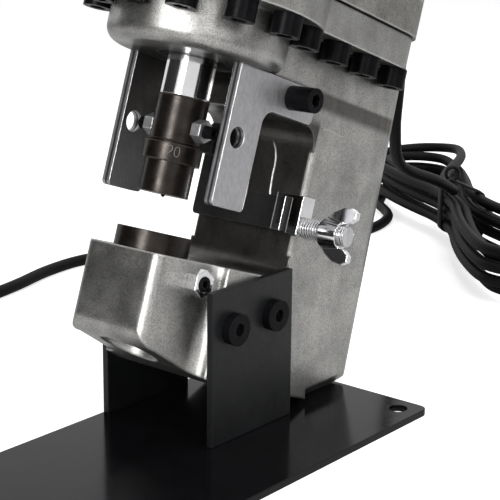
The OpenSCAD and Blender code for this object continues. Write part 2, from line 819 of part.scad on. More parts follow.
// Gear train
// A gear's outline: straight-flanked teeth, a little thin so that they run free
function gear_points(teeth, phase) = let (
        m = gear_module, r = m * teeth / 2, step = 360 / teeth)
    [for (i = [0:teeth - 1], k = [[-0.27, -1.2], [-0.12, 0.85], [0.12, 0.85], [0.27, -1.2]])
        let (a = (i + k[0]) * step + phase, q = r + k[1] * m) [q * cos(a), q * sin(a)]];
module gear_outline(teeth, phase) {
    polygon(gear_points(teeth, phase));
}
module drive_gear() {
    color(c_bright) lean() translate([0, gear_y, gear_low]) linear_extrude(gear_h) difference() {
        gear_outline(gear_teeth, -90);
        circle(gear_shaft_r + run_gap);
    }
}
module eccentric_shaft() {
    color(c_bright) lean() translate([0, gear_y, 0]) {
        translate([0, 0, ecc_z]) cylinder(r = gear_shaft_r, h = case_z + gear_case_h - 2 - ecc_z);
        translate([0, -ecc_throw, ecc_z]) cylinder(r = ecc_r, h = ecc_h);
    }
}
module gear_bearings() {
    color(c_bright) lean() for (z = [case_z, case_z + gear_case_h - bearing_h - case_wall])
        translate([0, gear_y, z]) ring(gear_bearing_r - run_gap, gear_shaft_r + run_gap, bearing_h);
}
case_r = motor_r + 1;
case_back_r = 30;
module gear_case() {
    color(c_cast) lean() difference() {
        translate([0, 0, case_z]) {
            linear_extrude(case_flange_t) flange_outline(3);
            linear_extrude(gear_case_h) {
                translate([0, motor_y]) circle(case_r);
                translate([0, gear_y]) circle(case_back_r);
            }
        }
        // Gear chamber
        translate([0, 0, case_z + bearing_h + 1])
            linear_extrude(gear_case_h - 2 * bearing_h - 2) {
                translate([0, gear_y]) circle(gear_module * (gear_teeth / 2 + 2));
                translate([0, motor_y]) circle(motor_bearing_r);
            }
        translate([0, gear_y, case_z - over])
            cylinder(r = gear_bearing_r, h = gear_case_h - case_wall + over);
        translate([0, motor_y, case_z + bearing_h + 1]) cylinder(r = motor_bearing_r, h = gear_case_h);
        case_screw_places() translate([0, 0, case_z - over])
            cylinder(r = case_screw_r + 0.2, h = case_flange_t + 3 * over);
        // Room for a spanner on the oil plug
        translate([oil_x, oil_y, case_z - over]) cylinder(r = spanner_r, h = gear_case_h);
    }
}
module gear_case_screws() {
    color(c_screw) lean() case_screw_places() {
        translate([0, 0, case_z - case_screw_in])
            cylinder(r = case_screw_r, h = case_screw_in + case_flange_t);
        translate([0, 0, case_z + case_flange_t]) difference() {
            cylinder(r = case_head_r, h = case_head_h);
            translate([0, 0, case_head_h / 2]) linear_extrude(case_head_h) hex(case_head_r);
        }
    }
}

// Motor
rear_bearing_z = cap_z + 2;
module motor_bearings() {
    color(c_bright) lean() for (z = [motor_z - bearing_h - 1, rear_bearing_z])
        translate([0, motor_y, z]) ring(motor_bearing_r - run_gap, shaft_r + run_gap, bearing_h + 1);
}
module rotor() {
    color(c_bright) lean() translate([0, motor_y, 0]) {
        translate([0, 0, gear_low + gear_h])
            cylinder(r = shaft_r, h = rear_bearing_z + bearing_h - gear_low - gear_h);
        translate([0, 0, gear_low]) linear_extrude(gear_h + 0.5)
            gear_outline(pinion_teeth, 90 + 180 / pinion_teeth);
        translate([0, 0, stack_z]) cylinder(r = rotor_r, h = stack_h);
    }
}
module commutator() {
    color(c_brass) lean() translate([0, motor_y, comm_z]) ring(comm_r, shaft_r + run_gap, comm_h);
}
module motor_fan() {
    color(c_shell) lean() translate([0, motor_y, fan_z]) difference() {
        union() {
            cylinder(r = fan_hub_r, h = fan_hub_h);
            cylinder(r = fan_r, h = fan_disc_t);
            for (a = [0:40:320]) rotate(a) translate([fan_hub_r - over, -blade_t / 2, fan_disc_t / 2])
                cube([fan_r - fan_hub_r, blade_t, blade_h]);
        }
        translate([0, 0, -over]) cylinder(r = shaft_r + run_gap, h = fan_hub_h + 2 * over);
    }
}
module stator() {
    color([0.35, 0.2, 0.12]) lean() translate([0, motor_y, stack_z])
        ring(motor_r - motor_wall - run_gap, rotor_r + 2 * move_gap, stack_h);
}
module brush_holders() {
    color(c_brass) lean() for (s = [0, 1]) mirror([s, 0, 0])
        rod_x(comm_r + move_gap, motor_y, brush_z, brush_r, motor_r - comm_r);
}
module brush_caps() {
    color(c_screw) lean() for (s = [0, 1]) mirror([s, 0, 0]) difference() {
        rod_x(motor_r + move_gap, motor_y, brush_z, brush_r + 1.5, brush_cap_t);
        translate([motor_r + move_gap + brush_cap_t - 1, motor_y - brush_r, brush_z - 0.8])
            cube([brush_cap_t, 2 * brush_r, 1.6]);
    }
}
module motor_housing() {
    inner = motor_r - motor_wall;
    color(c_cast) lean() difference() {
        translate([0, motor_y, motor_z]) ring(motor_r, inner, motor_l);
        for (s = [-1, 1])
            rod_x(s > 0 ? 0 : -motor_r - over, motor_y, brush_z, brush_r + run_gap, motor_r + over);
        // Air slots beside the fan
        for (a = [0:20:340]) translate([0, motor_y, fan_z + 1]) rotate(a)
            translate([inner - over, -2, 0]) cube([motor_wall + 2 * over, 4, 9]);
    }
}
module motor_cap() {
    inner = motor_r - motor_wall;
    color(c_shell) lean() translate([0, motor_y, cap_z]) difference() {
        cylinder(r = motor_r, h = cap_h);
        difference() {
            translate([0, 0, -over]) cylinder(r = inner, h = cap_h - 3 + over);
            cylinder(r = motor_bearing_r + 3, h = cap_h);
        }
        translate([0, 0, -over])
            cylinder(r = motor_bearing_r, h = rear_bearing_z - cap_z + bearing_h + 2 + over);
        for (a = [0:30:330]) rotate(a) translate([20, -1.5, cap_h - 5]) cube([8, 3, 9]);
    }
}

// Handle
module handle_profile() {
    difference() {
        translate([handle_y, handle_z]) round_rect(handle_l, handle_h, handle_r);
        translate([handle_y + grip_t, handle_z + handle_foot])
            round_rect(handle_l - 2 * grip_t, handle_h - handle_foot - grip_t, 10);
    }
}
// The cord leaves the handle's lower rear corner, half way between back and down
relief_y = handle_back - handle_r + handle_r * cos(45);
relief_z = handle_z + handle_r - handle_r * sin(45);
module at_relief() {
    translate([0, relief_y, relief_z]) rotate([-135, 0, 0]) children();
}
module handle_screw_places() {
    for (p = [[handle_y + 9, handle_z + 20], [handle_back - 9, handle_z + 28], [handle_y + 14, handle_top - 9],
            [handle_back - 14, handle_top - 9]])
        translate([0, p[0], p[1]]) rotate([0, 90, 0]) children();
}
module handle_hollows() {
    // Switch, trigger and lock button
    translate([-8.2, trigger_y - 4.2, grip_z + 9]) cube([16.4, trigger_l + 8.4, 9.2]);
    translate([-trigger_half - move_gap, trigger_y - move_gap, grip_z - over])
        cube([2 * (trigger_half + move_gap), trigger_l + 2 * move_gap, 9 + over + 0.1]);
    rod_x(handle_half - 10, button_y, grip_z + 10, button_r + move_gap, 10 + over);
    at_relief() translate([0, 0, -8]) cylinder(r = 5 + run_gap, h = 8 + over);
    handle_screw_places() {
        translate([0, 0, 3 - handle_half]) cylinder(r = 1.7, h = 2 * handle_half);
        translate([0, 0, handle_half - 3]) cylinder(r = 3.7, h = 3 + over);
    }
}
module handle_half_shell(x0) {
    color(c_shell) lean() difference() {
        across(x0, handle_half) handle_profile();
        handle_hollows();
    }
}
module handle_left() {
    handle_half_shell(-handle_half);
}
module handle_right() {
    handle_half_shell(0);
}
module handle_screws() {
    color(c_screw) lean() handle_screw_places() difference() {
        union() {
            translate([0, 0, 4 - handle_half]) cylinder(r = 1.65, h = 2 * handle_half - 7);
            translate([0, 0, handle_half - 3]) cylinder(r = 3.5, h = 2.5);
        }
        translate([-0.5, -3, handle_half - 1.3]) cube([1, 6, 3]);
    }
}
switch_w = 16;
switch_h = 9;
switch_up = 9.1;
module switch_body() {
    color(c_screw) lean() translate([-switch_w / 2, trigger_y - 4, grip_z + switch_up])
        cube([switch_w, trigger_l + 8, switch_h]);
}
module trigger() {
    color([0.6, 0.1, 0.08]) lean() translate([0, trigger_y, grip_z - trigger_out]) {
        translate([-trigger_half, 0, 0]) cube([2 * trigger_half, trigger_l, trigger_out + 4]);
    }
}
module lock_button() {
    color([0.6, 0.1, 0.08]) lean() rod_x(handle_half - 6, button_y, grip_z + 10, button_r, 9);
}
module strain_relief() {
    color(c_rubber) lean() at_relief() difference() {
        union() {
            translate([0, 0, -7]) cylinder(r = 5, h = 7 + over);
            cylinder(r1 = 6.5, r2 = cord_r + 0.8, h = relief_l);
        }
        for (z = [8:5:relief_l - 5]) translate([0, 0, z]) ring(9, cord_r + 0.9, 1.5);
    }
}

// Cord
function unit(v) = v / norm(v);
function tangent(p, i) = unit(p[min(i + 1, len(p) - 1)] - p[max(i - 1, 0)]);
// One ring of a tube about point i, turned so that side lies square to the path and to up
function tube_ring(p, i, r, sides, up) = let (
        t = tangent(p, i), side = unit(cross(t, up)), rise = cross(side, t))
    [for (k = [0:sides - 1]) let (a = (k + 0.5) * 360 / sides) p[i] + r * (cos(a) * side + sin(a) * rise)];
// A closed tube along a path, with flat ends
module tube(p, r, sides, up) {
    n = len(p);
    polyhedron(
        points = [for (i = [0:n - 1]) each tube_ring(p, i, r, sides, up)],
        faces = concat(
            [for (k = [1:sides - 2]) [0, k, k + 1]],
            [for (i = [0:n - 2], k = [0:sides - 1]) let (
                    a = i * sides + k, b = i * sides + (k + 1) % sides)
                each [[a, a + sides, b], [b, a + sides, b + sides]]],
            [for (k = [1:sides - 2]) let (e = (n - 1) * sides) [e, e + k + 1, e + k]]),
        convexity = 10);
}
// A smooth path through a list of points, with steps pieces between each pair
function smooth_path(p, steps) = concat([for (i = [0:len(p) - 2], k = [0:steps - 1]) let (
            a = p[max(i - 1, 0)], b = p[i], c = p[i + 1], d = p[min(i + 2, len(p) - 1)], t = k / steps)
        0.5 * (2 * b + (c - a) * t + (2 * a - 5 * b + 4 * c - d) * t * t
            + (3 * b - a - 3 * c + d) * t * t * t)],
    [p[len(p) - 1]]);

// A point of the hank: u along it, v across it, z above the table
function hank_point(u, v, z) = [
    hank_c[0] + u * cos(hank_yaw) - v * sin(hank_yaw),
    hank_c[1] + u * sin(hank_yaw) + v * cos(hank_yaw), z];
function drawn_in(w, u) = w - hank_draw * exp(-pow(u / hank_waist, 2));
// Half width and height of the loop after t turns. From the top layer down, each layer goes in or out by one
// turn, and the half turn after it leads down to the next.
function clamp01(x) = min(1, max(0, x));
function loop_w(t) = let (s = t < 0 ? 0 : t - 3 * floor(t / 3))
    s < 1 ? hank_out - hank_step * s
    : s < 1.5 ? hank_in : s < 2.5 ? hank_in + hank_step * (s - 1.5) : hank_out;
function loop_z(t) = layer(4) + hank_step * (clamp01(-t / (0.5 - run_share))
    - clamp01(2 * (t - 1)) - clamp01(2 * (t - 2.5)) - clamp01(2 * (t - 4)));
// One turn: run forward on the near side, round the front end, run back, round the far end
run_share = 7 / 24;
function loop_point(t) = let (
        f = t - floor(t), half = f < 0.5 ? f : f - 0.5, way = f < 0.5 ? 1 : -1, w = loop_w(t),
        s = half / run_share, a = (half - run_share) / (0.5 - run_share) * 180)
    half < run_share
        ? let (u = hank_half * (2 * s - 1)) hank_point(way * u, -way * drawn_in(w, u), loop_z(t))
        : hank_point(way * (hank_half + w * sin(a)), -way * w * cos(a), loop_z(t));
// The last stretch before the first loop lies on top, from the tie to the far end
function top_run(s) =
    hank_point(-hank_half * s, hank_start_v + (hank_out - hank_start_v) * (3 - 2 * s) * s * s, layer(5));
loop_rings = 24;
hank_path = concat(
    [for (i = [0:5]) top_run(i / 6)],
    [for (i = [0:4]) loop_point((run_share - 0.5) * (1 - i / 5))],
    [for (i = [0:hank_turns * loop_rings]) loop_point(min(i / loop_rings, hank_turns - 0.0001))]);
// Least gap of the hank to itself, on points that are not neighbours along the cord
hank_gap = min([for (i = [0:len(hank_path) - 1], j = [i + 5:1:len(hank_path) - 1])
    norm(hank_path[i] - hank_path[j])]) - cord_d;

drop_start = [0, relief_y, relief_z] + relief_l * [0, cos(45), -sin(45)];
drop_way = [0, cos(45), -sin(45)];
hank_last = hank_path[len(hank_path) - 1];
hank_in_way = unit(hank_path[1] - hank_path[0]);
hank_out_way = unit(hank_last - hank_path[len(hank_path) - 2]);
drop_route = [
    leaned(drop_start), leaned(drop_start + 8 * drop_way), leaned(drop_start + 22 * drop_way),
    [-30, 209, 222], [-36, 211, 187], [-43, 211, 152], [-49, 217, 119], [-60, 232, 92],
    [-73, 259, 68], hank_point(50, -33, layer(5) + 14), hank_path[0] - 20 * hank_in_way + [0, 0, 1.5],
    hank_path[0] - 8 * hank_in_way, hank_path[0]];
// Height of the cord's middle where it lies on the ground
lie_z = cord_r + 0.15;
tail_route = [
    hank_last, hank_last + 8 * hank_out_way, hank_last + 22 * hank_out_way, hank_point(-62, -33, 4.2),
    hank_point(-38, -46, lie_z), hank_point(-22, -66, lie_z), [-170, 305, lie_z], [-186, 272, lie_z],
    [-204, 238, lie_z], [-222, 203, lie_z], [-233, 168, lie_z], [-231, 137, lie_z], [-223, 108, lie_z],
    [-218, 82, lie_z], [plug_x, 58, 4.5], [plug_x, 38, 8.4], [plug_x, 24, plug_z], [plug_x, 13, plug_z],
    [plug_x, plug_y, plug_z]];

module cord_drop() {
    color(c_rubber) tube(smooth_path(drop_route, 2), cord_r, 8, [1, 0.2, 0]);
}
module cord_hank() {
    echo(least_gap_of_hank = hank_gap);
    color(c_rubber) tube(hank_path, cord_r, 6, [0, 0, 1]);
}
module cord_tail() {
    color(c_rubber) tube(smooth_path(tail_route, 2), cord_r, 8, [0, 0, 1]);
}
// Band round the hank's waist, with the little loop of its tail
module cord_tie() {
    half = hank_out - hank_draw + cord_r + tie_room;
    high = layer(5) + cord_r + 0.6;
    color(c_rubber) translate([hank_c[0], hank_c[1], 0]) rotate(hank_yaw) {
        translate([tie_w / 2, 0, 0]) rotate([90, 0, -90]) linear_extrude(tie_w) difference() {
            translate([-half - tie_t, 0]) round_rect(2 * (half + tie_t), high + tie_t, 3);
            translate([-half, tie_t]) round_rect(2 * half, high - tie_t, 2);
        }
        translate([0, half - 2, high + tie_t + 3]) rotate([0, 90, 0])
            rotate_extrude() translate([4, 0]) circle(1.2);
    }
}
module plug() {
    color(c_rubber) translate([plug_x, plug_y, plug_z]) rotate([90, 0, 0]) {
        cylinder(r1 = cord_r + 0.5, r2 = cord_r + 2.7, h = plug_cone);
        translate([0, 0, plug_cone]) intersection() {
            cylinder(r = plug_half, h = plug_l);
            translate([-plug_half, 0.2 - plug_z, 0]) cube([2 * plug_half, 2 * plug_z - 0.4, plug_l]);
        }
        for (x = [-pin_x, pin_x]) translate([x, 0, plug_cone + plug_l]) cylinder(r = pin_r, h = pin_l);
    }
}

base_plate();
upright_left();
upright_right();
upright_bolts();
c_frame();
die();
die_set_screw();
die_lock_nut();
ram();
piston_seal();
gland_bush();
rod_wiper();
return_spring();
coupling_nut();
punch();
punch_set_screws();
punch_lock_nuts();
stripper_left();
stripper_right();
stripper_screws();
stop_bar();
stop_clamp();
stop_stud();
wing_nut();
flange_gasket();
flange_screws();
pump_base();
pump_body();
oil_plug();
relief_valve_cap();
release_knob();
barrel_plug();
pump_plunger();
eccentric_shaft();
drive_gear();
gear_bearings();
gear_case();
gear_case_screws();
motor_bearings();
rotor();
commutator();
motor_fan();
stator();
brush_holders();
brush_caps();
motor_housing();
motor_cap();
handle_left();
handle_right();
handle_screws();
switch_body();
trigger();
lock_button();
strain_relief();
cord_drop();
cord_hank();
cord_tail();
cord_tie();
plug();
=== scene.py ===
import json
import math

import bmesh
import bpy
from mathutils import Matrix, Vector


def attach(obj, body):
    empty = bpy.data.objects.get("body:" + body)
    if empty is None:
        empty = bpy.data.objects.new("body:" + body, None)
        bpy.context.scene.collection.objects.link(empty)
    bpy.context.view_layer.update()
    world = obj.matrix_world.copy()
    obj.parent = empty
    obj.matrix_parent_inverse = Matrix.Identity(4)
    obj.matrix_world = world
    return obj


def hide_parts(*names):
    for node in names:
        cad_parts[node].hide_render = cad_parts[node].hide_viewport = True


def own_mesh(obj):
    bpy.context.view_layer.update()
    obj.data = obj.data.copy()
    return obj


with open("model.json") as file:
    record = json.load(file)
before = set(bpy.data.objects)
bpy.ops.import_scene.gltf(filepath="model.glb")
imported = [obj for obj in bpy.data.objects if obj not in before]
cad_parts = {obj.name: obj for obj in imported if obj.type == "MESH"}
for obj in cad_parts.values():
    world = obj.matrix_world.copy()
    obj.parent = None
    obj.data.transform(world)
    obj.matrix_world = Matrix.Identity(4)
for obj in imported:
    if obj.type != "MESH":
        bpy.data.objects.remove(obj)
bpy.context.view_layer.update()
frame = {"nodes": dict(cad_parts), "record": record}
nodes = frame["nodes"]
scene = bpy.context.scene
scene.view_settings.view_transform = "Standard"

MM = 0.001
LEAN = math.radians(19)
MACH_X = -20.0
BASE_T = 3
HEEL_Y = 107
HEEL_DROP = 27.2
HEEL_R = 16
MACH_Z = BASE_T + HEEL_Y * math.sin(LEAN) + HEEL_DROP * math.cos(LEAN) + HEEL_R
# From the upright machine, in millimetres about the ram axis, to the row frame in metres
MACHINE = (Matrix.Translation((MACH_X * MM, 0, MACH_Z * MM)) @ Matrix.Rotation(-LEAN, 4, "X")
           @ Matrix.Scale(MM, 4))
# Inner face of a stripper plate, from the ram axis
PLATE_IN = 25.5


def machine(x, y, z):
    return MACHINE @ Vector((x, y, z))


def link(obj):
    scene.collection.objects.link(obj)
    return obj


def mesh_piece(name, bm, material, body):
    mesh = bpy.data.meshes.new(name)
    bm.normal_update()
    bm.to_mesh(mesh)
    bm.free()
    for face in mesh.polygons:
        face.use_smooth = True
    obj = link(bpy.data.objects.new(name, mesh))
    mesh.materials.append(material)
    if body:
        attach(obj, body)
    return obj


def line_piece(name, points, radius, material, body, closed=False, sides=8):
    """A round bead along points given in the row frame, in metres."""
    bm = bmesh.new()
    rings = []
    side = None
    last = len(points) - 1
    for i, place in enumerate(points):
        before = points[i - 1] if i or closed else place
        after = points[(i + 1) % (last + 1)] if i < last or closed else place
        along = (after - before).normalized()
        if side is None:
            side = along.orthogonal()
        side = (side - along * side.dot(along)).normalized()
        other = along.cross(side)
        turns = [2 * math.pi * k / sides for k in range(sides)]
        ring = [place + radius * (math.cos(t) * side + math.sin(t) * other) for t in turns]
        rings.append([bm.verts.new(p) for p in ring])
    if closed:
        rings.append(rings[0])
    else:
        bm.faces.new(reversed(rings[0]))
        bm.faces.new(rings[-1])
    for low, high in zip(rings, rings[1:]):
        for k in range(sides):
            bm.faces.new((low[k], low[(k + 1) % sides], high[(k + 1) % sides], high[k]))
    return mesh_piece(name, bm, material, body)


# Materials


class Shader:
    """A material's node tree, with short calls for the nodes used here."""

    def __init__(self, name):
        self.mat = bpy.data.materials.new(name)
        self.mat.use_nodes = True
        self.tree = self.mat.node_tree
        self.bsdf = self.tree.nodes["Principled BSDF"]
        self.coords = self.tree.nodes.new("ShaderNodeTexCoord")
        self.round = None

    def new(self, kind, **inputs):
        node = self.tree.nodes.new(kind)
        for key, value in inputs.items():
            node.inputs[key].default_value = value
        return node

    def join(self, out, into):
        self.tree.links.new(out, into)

    def machine_coords(self):
        """Millimetres about the ram axis, in the upright machine."""
        node = self.tree.nodes.new("ShaderNodeMapping")
        back = MACHINE.inverted()
        node.inputs["Location"].default_value = back.translation
        node.inputs["Rotation"].default_value = (LEAN, 0, 0)
        node.inputs["Scale"].default_value = (1 / MM, 1 / MM, 1 / MM)
        self.join(self.coords.outputs["Object"], node.inputs["Vector"])
        split = self.tree.nodes.new("ShaderNodeSeparateXYZ")
        self.join(node.outputs["Vector"], split.inputs["Vector"])
        return split.outputs

    def noise(self, scale, detail=4.0, rough=0.5, stretch=None):
        node = self.new("ShaderNodeTexNoise", Scale=scale, Detail=detail, Roughness=rough)
        source = self.coords.outputs["Object"]
        if stretch:
            mapping = self.tree.nodes.new("ShaderNodeMapping")
            mapping.inputs["Rotation"].default_value = (LEAN, 0, 0)
            mapping.inputs["Scale"].default_value = stretch
            self.join(source, mapping.inputs["Vector"])
            source = mapping.outputs["Vector"]
        self.join(source, node.inputs["Vector"])
        return node.outputs["Fac"]

    def ramp(self, fac, stops):
        node = self.tree.nodes.new("ShaderNodeValToRGB")
        elements = node.color_ramp.elements
        while len(elements) < len(stops):
            elements.new(0.5)
        for element, (place, value) in zip(elements, stops):
            tone = tuple(value) if isinstance(value, (tuple, list)) else (value,) * 3
            element.position = place
            element.color = tone + (1,)
        self.join(fac, node.inputs["Fac"])
        return node.outputs["Color"]

    def span(self, value, low, high):
        """0 below low, 1 above high, smooth between them; the other way round if low is above high."""
        node = self.tree.nodes.new("ShaderNodeMapRange")
        node.interpolation_type = "SMOOTHSTEP"
        node.inputs["From Min"].default_value = min(low, high)
        node.inputs["From Max"].default_value = max(low, high)
        node.inputs["To Min"].default_value = 0 if low < high else 1
        node.inputs["To Max"].default_value = 1 if low < high else 0
        self.join(value, node.inputs["Value"])
        return node.outputs["Result"]

    def times(self, *values):
        out = values[0]
        for value in values[1:]:
            node = self.tree.nodes.new("ShaderNodeMath")
            node.operation = "MULTIPLY"
            self.join(out, node.inputs[0])
            if isinstance(value, (int, float)):
                node.inputs[1].default_value = value
            else:
                self.join(value, node.inputs[1])
            out = node.outputs[0]
        return out

    def mix(self, a, b, fac=0.5, kind="MULTIPLY"):
        node = self.tree.nodes.new("ShaderNodeMix")
        node.data_type = "RGBA"
        node.blend_type = kind
        for socket, value in ((node.inputs[0], fac), (node.inputs[6], a), (node.inputs[7], b)):
            if isinstance(value, (int, float)):
                socket.default_value = value
            elif isinstance(value, (tuple, list)):
                socket.default_value = (*value, 1)
            else:
                self.join(value, socket)
        return node.outputs[2]

    def soft_edges(self, radius):
        """Edges shaded as if rounded; returns a mask that is 1 on them."""
        self.round = self.new("ShaderNodeBevel", Radius=radius)
        self.round.samples = 6
        plain = self.tree.nodes.new("ShaderNodeNewGeometry")
        dot = self.tree.nodes.new("ShaderNodeVectorMath")
        dot.operation = "DOT_PRODUCT"
        self.join(self.round.outputs["Normal"], dot.inputs[0])
        self.join(plain.outputs["Normal"], dot.inputs[1])
        return self.span(dot.outputs["Value"], 0.99, 0.80)

    def colour(self, socket):
        self.join(socket, self.bsdf.inputs["Base Color"])

    def roughness(self, socket):
        self.join(socket, self.bsdf.inputs["Roughness"])

    def bump(self, height, strength, distance):
        node = self.new("ShaderNodeBump", Strength=strength, Distance=distance)
        self.join(height, node.inputs["Height"])
        if self.round:
            self.join(self.round.outputs["Normal"], node.inputs["Normal"])
        self.join(node.outputs["Normal"], self.bsdf.inputs["Normal"])


def cast_metal(name, tone, throat_shade=False):
    """Blasted silver-grey casting: blotches, soft streaks, a fine stipple, edges painted lighter (part
    wear, part painted highlight) and, where asked, painted shade in the throat and under the head.
    """
    s = Shader(name)
    edge = s.soft_edges(0.0016)
    dark = [c * 0.74 for c in tone]
    light = [c * 1.18 for c in tone]
    worn_and_highlight = [min(1, c * 1.9) for c in tone]
    blotch = s.ramp(s.noise(60, 5, 0.6), [(0.32, dark), (0.68, light)])
    streak = s.ramp(s.noise(140, 4, 0.6, (1, 1, 0.12)), [(0.3, 0.78), (0.7, 1.0)])
    speck = s.ramp(s.noise(1700, 3, 0.8), [(0.37, 0.38), (0.56, 1.0)])
    skin = s.mix(s.mix(blotch, streak, 0.7), speck, 0.75)
    # Edges painted lighter: partly wear, partly painted highlight
    skin = s.mix(skin, worn_and_highlight, s.times(edge, 0.6), "MIX")
    rough = s.ramp(s.noise(90, 4, 0.6), [(0.3, 0.26), (0.7, 0.38)])
    if throat_shade:
        # Painted shade inside the throat: the walls there are darkened in the colour where shade falls
        place = s.machine_coords()
        throat_shade_mask = s.times(s.span(place["Y"], 55.6, 55.1), s.span(place["Z"], 69, 64),
                         s.span(place["Z"], -1, 2), s.span(place["Y"], 18, 30))
        painted_shade = s.ramp(s.noise(160, 6, 0.7, (1, 1, 0.25)),
                     [(0.3, (0.022, 0.020, 0.018)), (0.75, (0.085, 0.078, 0.070))])
        skin = s.mix(skin, painted_shade, s.times(throat_shade_mask, 0.85), "MIX")
        # Painted shade round the ram on the head's underside
        underside_shade_mask = s.times(s.span(place["Z"], 80, 78.2), s.span(place["Z"], 70, 74),
                        s.span(place["Y"], -26, -12))
        skin = s.mix(skin, painted_shade, s.times(underside_shade_mask, 0.8), "MIX")
    s.colour(skin)
    s.roughness(rough)
    s.bsdf.inputs["Metallic"].default_value = 0.92
    s.bump(s.noise(1500, 4, 0.7), 0.28, 0.0003)
    return s.mat


def plate_metal(name, dark, light, painted_shade):
    """Zinc plate with vertical rolling marks, cut edges painted bright as painted highlight with a dark
    line painted between them as painted shade, and an inner face darkened as painted shade.
    """
    s = Shader(name)
    edge = s.soft_edges(0.0007)
    skin = s.ramp(s.noise(700, 5, 0.7, (1, 1, 0.5)), [(0.3, dark), (0.7, light)])
    wide = s.tree.nodes.new("ShaderNodeMath")
    wide.operation = "ABSOLUTE"
    place = s.machine_coords()
    s.join(place["X"], wide.inputs[0])
    across = wide.outputs[0]
    # The inner face's painted shade is lighter toward the foot of the leg
    shade_fade = s.ramp(s.span(place["Z"], 26, 58), [(0, 0.58), (1, 0.92)])
    # Inner face darkened in the colour: painted shade
    inner_shade_mask = s.times(s.span(across, PLATE_IN + 0.8, PLATE_IN + 0.3), shade_fade)
    inner_shade_tone = s.ramp(s.noise(120, 5, 0.65, (1, 1, 0.3)), [(0.3, painted_shade), (0.75, [c * 2.6 for c in painted_shade])])
    skin = s.mix(skin, inner_shade_tone, inner_shade_mask, "MIX")
    # A dark line painted in the middle of the cut edges: painted shade between their bright corners
    edge_middle_shade = s.times(s.span(across, PLATE_IN + 1.2, PLATE_IN + 1.7),
                  s.span(across, PLATE_IN + 2.8, PLATE_IN + 2.3))
    skin = s.mix(skin, (0.035, 0.032, 0.030), s.times(edge_middle_shade, 0.9), "MIX")
    # Cut edges painted bright: painted highlight
    s.colour(s.mix(skin, (0.74, 0.74, 0.75), s.times(edge, 0.85), "MIX"))
    s.roughness(s.ramp(s.noise(440, 4, 0.6, (1, 1, 0.15)), [(0.3, 0.34), (0.7, 0.48)]))
    s.bsdf.inputs["Metallic"].default_value = 0.88
    s.bump(s.noise(900, 4, 0.6, (1, 1, 0.3)), 0.15, 0.0002)
    return s.mat


def plain_metal(name, dark, light, rough, metallic, scale, stretch=None, bump=0.08, edge_tone=None):
    """A worked metal surface with fine streaks or clouding, and edges rubbed to another tone."""
    s = Shader(name)
    edge = s.soft_edges(0.0006)
    skin = s.ramp(s.noise(scale, 5, 0.6, stretch), [(0.3, dark), (0.7, light)])
    if edge_tone:
        skin = s.mix(skin, edge_tone, s.times(edge, 0.8), "MIX")
    s.colour(skin)
    s.roughness(s.ramp(s.noise(scale * 1.7, 4, 0.6, stretch), [(0.3, rough[0]), (0.7, rough[1])]))
    s.bsdf.inputs["Metallic"].default_value = metallic
    s.bump(s.noise(scale * 2.3, 4, 0.6, stretch), bump, 0.0002)
    return s.mat


def soft_plastic(name, dark, light, rough, scale, bump, edge_r=0.0008, gloss=0.5, edge_tone=None):
    """Moulded plastic, rubber, paint or blackened steel with a fine skin."""
    s = Shader(name)
    edge = s.soft_edges(edge_r)
    skin = s.ramp(s.noise(scale * 0.2, 4, 0.6), [(0.3, dark), (0.7, light)])
    if edge_tone:
        skin = s.mix(skin, edge_tone, s.times(edge, 0.7), "MIX")
    s.colour(skin)
    s.bsdf.inputs["Specular IOR Level"].default_value = gloss
    s.roughness(s.ramp(s.noise(scale * 0.6, 3, 0.5), [(0.3, rough[0]), (0.7, rough[1])]))
    s.bump(s.noise(scale, 4, 0.6), bump, 0.0002)
    return s.mat


LOOKS = {
    "cast_steel": cast_metal("cast_steel_look", (0.44, 0.435, 0.42), throat_shade=True),
    "cast_alloy": cast_metal("cast_alloy_look", (0.37, 0.365, 0.345)),
    # Its third colour is the painted shade of the plates' inner faces
    "plate": plate_metal("zinc_plate_look", (0.33, 0.33, 0.34), (0.46, 0.455, 0.47),
                         (0.030, 0.028, 0.026)),
    "black_oxide": plain_metal("black_oxide_look", (0.008, 0.0065, 0.0055), (0.026, 0.020, 0.016),
                               (0.24, 0.38), 0.7, 160, None, 0.10, (0.16, 0.13, 0.11)),
    # The screws' edges are painted a little lighter than their faces: painted highlight
    "black_screw": soft_plastic("black_screw_look", (0.0025, 0.0025, 0.003), (0.006, 0.006, 0.007),
                                (0.24, 0.38), 900, 0.08, 0.0005, 0.05, (0.018, 0.018, 0.021)),
    "chrome": plain_metal("chrome_look", (0.62, 0.62, 0.63), (0.72, 0.72, 0.73),
                          (0.06, 0.12), 1.0, 120, None, 0.02, (0.9, 0.9, 0.9)),
    "steel": plain_metal("ground_steel_look", (0.45, 0.45, 0.46), (0.62, 0.62, 0.63),
                         (0.2, 0.32), 1.0, 500, (1, 1, 0.2)),
    "black_paint": soft_plastic("black_paint_look", (0.003, 0.003, 0.0035), (0.005, 0.005, 0.006),
                                (0.12, 0.18), 500, 0.02, 0.0005, 0.13),
    "rubber": soft_plastic("rubber_look", (0.0025, 0.0025, 0.003), (0.006, 0.006, 0.007),
                           (0.42, 0.56), 1500, 0.1, gloss=0.18),
    "bronze": plain_metal("bronze_look", (0.50, 0.34, 0.14), (0.64, 0.46, 0.22), (0.25, 0.36), 1.0, 300),
    "shell": soft_plastic("shell_look", (0.012, 0.012, 0.014), (0.021, 0.021, 0.023),
                          (0.45, 0.58), 1200, 0.3),
    "red": soft_plastic("red_look", (0.40, 0.020, 0.016), (0.50, 0.030, 0.024), (0.3, 0.4), 900, 0.1),
    "winding": plain_metal("winding_look", (0.26, 0.10, 0.045), (0.42, 0.19, 0.09), (0.3, 0.45), 0.9, 700),
    "pin": plain_metal("pin_look", (0.70, 0.66, 0.56), (0.80, 0.76, 0.66), (0.16, 0.24), 1.0, 300),
}
